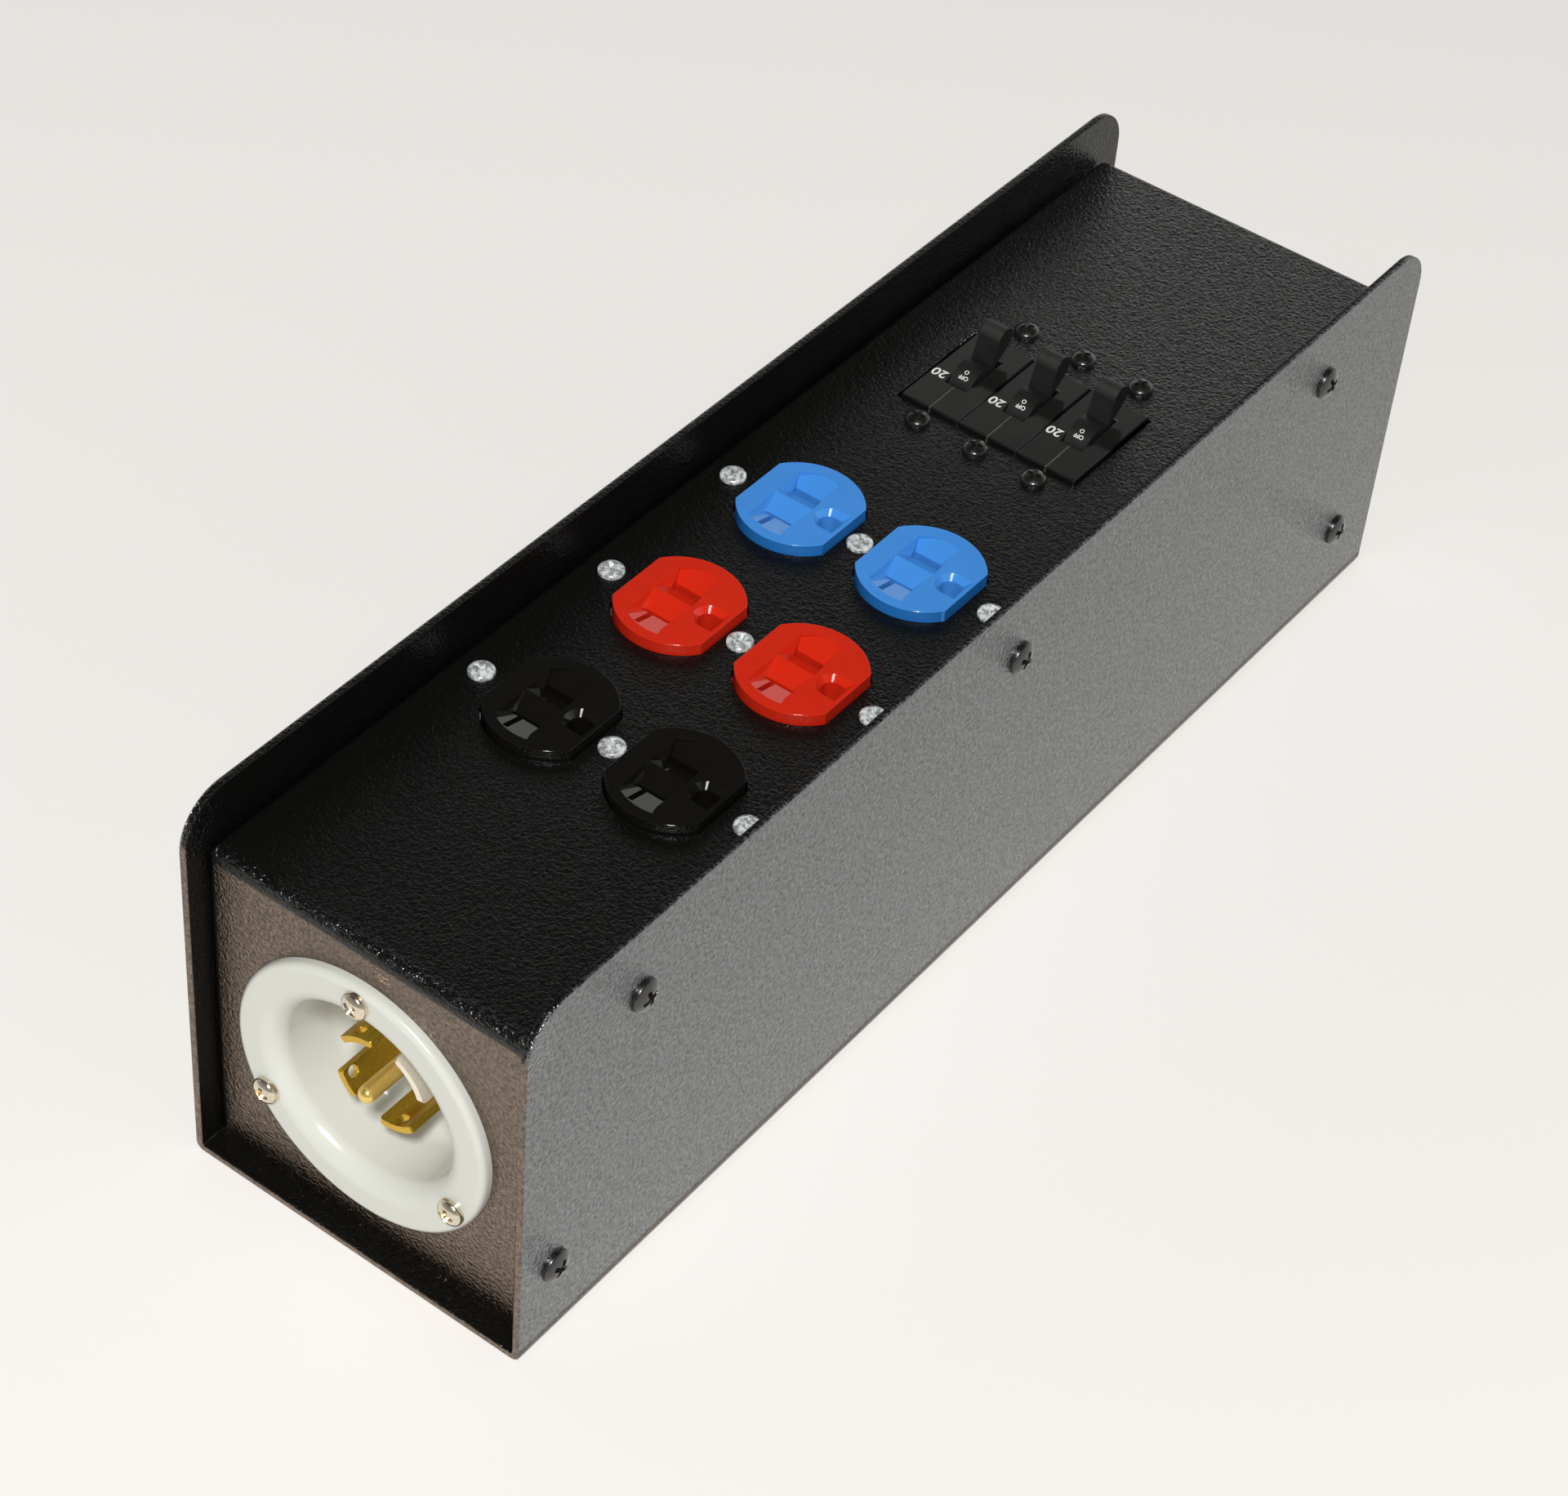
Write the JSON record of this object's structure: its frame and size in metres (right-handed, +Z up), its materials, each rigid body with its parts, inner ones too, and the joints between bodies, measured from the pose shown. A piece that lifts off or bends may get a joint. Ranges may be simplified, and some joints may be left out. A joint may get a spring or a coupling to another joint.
{
  "type": "power stringer box",
  "caption": "Folded black steel power distribution box with a round locking inlet at one end, coloured duplex receptacles and toggle breakers along the top.",
  "frame": {"origin": "floor under the middle of the channel", "axes": "+Y from the inlet end to the rear end, +Z up, +X to the right seen from the inlet end"},
  "size_m": [0.1104, 0.397, 0.119],
  "materials": {
    "powder_coat": "fine textured semi-gloss black powder coat",
    "black_screw": "satin black oxide",
    "zinc_steel": "bright zinc plating",
    "nickel": "bright nickel plating",
    "brass": "satin brass",
    "copper": "satin copper",
    "white_nylon": "glossy moulded nylon",
    "black_moulding": "glossy moulded thermoset",
    "red_moulding": "glossy moulded thermoset",
    "blue_moulding": "glossy moulded thermoset",
    "breaker_moulding": "glossy moulded thermoset",
    "body_moulding": "plain moulded",
    "green_screw": "green dyed plating",
    "black_wire": "vinyl insulation",
    "white_wire": "vinyl insulation",
    "green_wire": "vinyl insulation"
  },
  "bodies": {
    "box": {"breaker_1_case_left": "breaker_moulding", "breaker_1_case_right": "breaker_moulding", "breaker_2_case_left": "breaker_moulding", "breaker_2_case_right": "breaker_moulding", "breaker_3_case_left": "breaker_moulding", "breaker_3_case_right": "breaker_moulding", "breaker_coils": "copper", "breaker_line_terminals": "copper", "breaker_load_terminals": "copper", "breaker_pivot_pins": "zinc_steel", "breaker_screws": "black_screw", "chassis": "powder_coat", "cover": "powder_coat", "cover_nuts": "zinc_steel", "ground_bar": "brass", "ground_bar_screws": "zinc_steel", "ground_terminal_screws": "green_screw", "ground_wires": "green_wire", "hot_terminal_screws": "brass", "inlet_blade_neutral": "nickel", "inlet_blade_x": "brass", "inlet_blade_y": "brass", "inlet_blade_z": "brass", "inlet_ground_pin": "brass", "inlet_screws": "nickel", "inlet_shell": "white_nylon", "inlet_terminal_block": "white_nylon", "inlet_terminal_screws": "nickel", "line_wires": "black_wire", "load_wires": "black_wire", "neutral_terminal_screws": "nickel", "neutral_wires": "white_wire", "panel_nuts": "zinc_steel", "receptacle_black_body": "body_moulding", "receptacle_black_face": "black_moulding", "receptacle_black_ground_contact": "brass", "receptacle_black_hot_contact": "brass", "receptacle_black_neutral_contact": "brass", "receptacle_black_strap": "zinc_steel", "receptacle_blue_body": "body_moulding", "receptacle_blue_face": "blue_moulding", "receptacle_blue_ground_contact": "brass", "receptacle_blue_hot_contact": "brass", "receptacle_blue_neutral_contact": "brass", "receptacle_blue_strap": "zinc_steel", "receptacle_red_body": "body_moulding", "receptacle_red_face": "red_moulding", "receptacle_red_ground_contact": "brass", "receptacle_red_hot_contact": "brass", "receptacle_red_neutral_contact": "brass", "receptacle_red_strap": "zinc_steel", "receptacle_screws": "zinc_steel", "side_screws": "black_screw"},
    "handle_1": {"breaker_1_handle": "breaker_moulding"},
    "arm_1": {"breaker_1_contact_arm": "copper"},
    "handle_2": {"breaker_2_handle": "breaker_moulding"},
    "arm_2": {"breaker_2_contact_arm": "copper"},
    "handle_3": {"breaker_3_handle": "breaker_moulding"},
    "arm_3": {"breaker_3_contact_arm": "copper"}
  },
  "joints": [
    {"name": "toggle_1", "type": "hinge", "parent": "box", "child": "handle_1", "pos_m": [-0.01905, 0.07766, 0.0992], "axis": [1, 0, 0], "range_deg": [0, 73.4]},
    {"name": "contact_1", "type": "hinge", "parent": "box", "child": "arm_1", "pos_m": [-0.01905, 0.09346, 0.0794], "axis": [1, 0, 0], "range_deg": [0, 9.2]},
    {"name": "toggle_2", "type": "hinge", "parent": "box", "child": "handle_2", "pos_m": [0, 0.07766, 0.0992], "axis": [1, 0, 0], "range_deg": [0, 73.4]},
    {"name": "contact_2", "type": "hinge", "parent": "box", "child": "arm_2", "pos_m": [0, 0.09346, 0.0794], "axis": [1, 0, 0], "range_deg": [0, 9.2]},
    {"name": "toggle_3", "type": "hinge", "parent": "box", "child": "handle_3", "pos_m": [0.01905, 0.07766, 0.0992], "axis": [1, 0, 0], "range_deg": [0, 73.4]},
    {"name": "contact_3", "type": "hinge", "parent": "box", "child": "arm_3", "pos_m": [0.01905, 0.09346, 0.0794], "axis": [1, 0, 0], "range_deg": [0, 9.2]}
  ],
  "couplings": [
    {"joint": "contact_1", "follows": "toggle_1", "ratio": 0.122},
    {"joint": "contact_2", "follows": "toggle_2", "ratio": 0.122},
    {"joint": "contact_3", "follows": "toggle_3", "ratio": 0.122}
  ]
}
